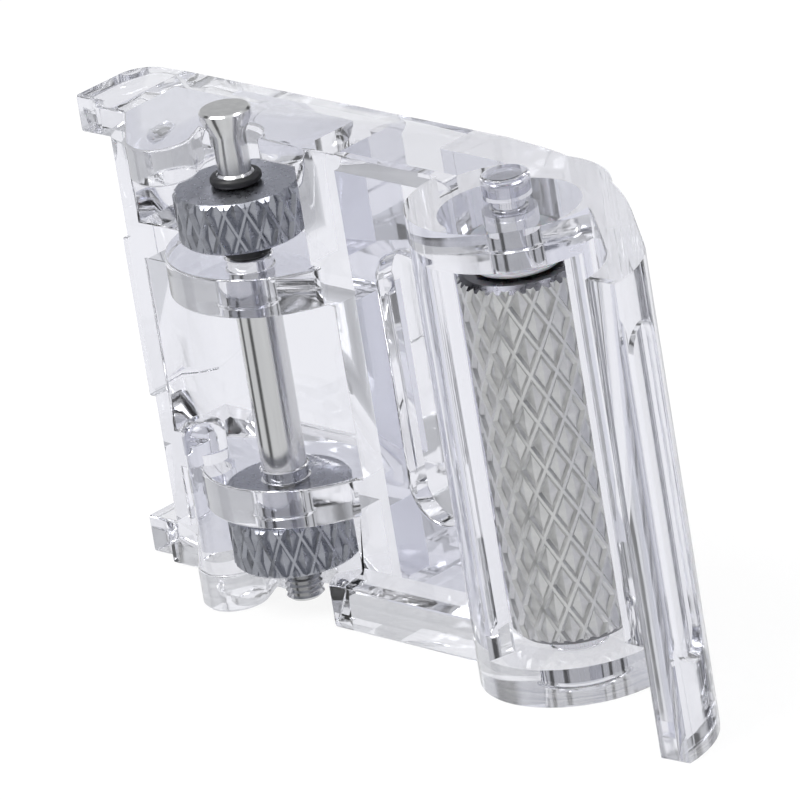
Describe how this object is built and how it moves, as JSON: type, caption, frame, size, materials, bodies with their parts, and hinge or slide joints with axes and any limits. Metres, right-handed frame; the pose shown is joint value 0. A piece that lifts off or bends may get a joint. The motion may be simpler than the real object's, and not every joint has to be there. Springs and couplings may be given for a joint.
{
  "type": "thread serving tool",
  "caption": "Clear serving tool for winding thread: spool spindle with knurled drag nuts at one end, knurled roller in an open cradle at the other.",
  "frame": {"origin": "centre of the overall box on the plane of the bottom end faces", "axes": "+Z along the spindle and roller axes, +X from the string ears to the curved end wall, -Y out of the open front"},
  "size_m": [0.1164, 0.0318, 0.0689],
  "materials": {
    "clear_plastic": "polished clear polycarbonate",
    "spindle_steel": "turned and lightly polished",
    "nut_steel": "dark plated, diamond knurled",
    "roller_steel": "satin, diamond knurled",
    "axle_chrome": "bright chrome",
    "black_rubber": "matte",
    "white_nylon": "turned nylon"
  },
  "bodies": {
    "frame": {"clear_body": "clear_plastic", "roller_axle": "axle_chrome", "lower_washer": "white_nylon", "upper_washer": "white_nylon"},
    "roller": {"roller_sleeve": "roller_steel"},
    "spindle": {"spindle_rod": "spindle_steel", "spindle_sleeve": "spindle_steel", "drag_ring": "black_rubber"},
    "upper_carrier": {"upper_lock_ring": "black_rubber"},
    "upper_nut": {"upper_nut": "nut_steel"},
    "lower_carrier": {"lower_lock_ring": "black_rubber"},
    "lower_nut": {"lower_nut": "nut_steel"}
  },
  "joints": [
    {"name": "roller_spin", "type": "hinge", "parent": "frame", "child": "roller", "pos_m": [0.0233, 0.00131, 0.031], "axis": [0, 0, 1], "continuous": true},
    {"name": "spindle_spin", "type": "hinge", "parent": "frame", "child": "spindle", "pos_m": [-0.0271, 0.00131, 0.031], "axis": [0, 0, 1], "continuous": true},
    {"name": "upper_nut_travel", "type": "slide", "parent": "spindle", "child": "upper_carrier", "axis": [0, 0, 1], "range_m": [0, 0.0012]},
    {"name": "upper_nut_turn", "type": "hinge", "parent": "upper_carrier", "child": "upper_nut", "pos_m": [-0.0271, 0.00131, 0.055], "axis": [0, 0, 1], "range_deg": [0, 540]},
    {"name": "lower_nut_travel", "type": "slide", "parent": "spindle", "child": "lower_carrier", "axis": [0, 0, -1], "range_m": [0, 0.0008]},
    {"name": "lower_nut_turn", "type": "hinge", "parent": "lower_carrier", "child": "lower_nut", "pos_m": [-0.0271, 0.00131, 0.0097], "axis": [0, 0, -1], "range_deg": [0, 360]}
  ],
  "couplings": [
    {"joint": "upper_nut_turn", "follows": "upper_nut_travel", "rad_per_m": 7854},
    {"joint": "lower_nut_turn", "follows": "lower_nut_travel", "rad_per_m": 7854}
  ]
}
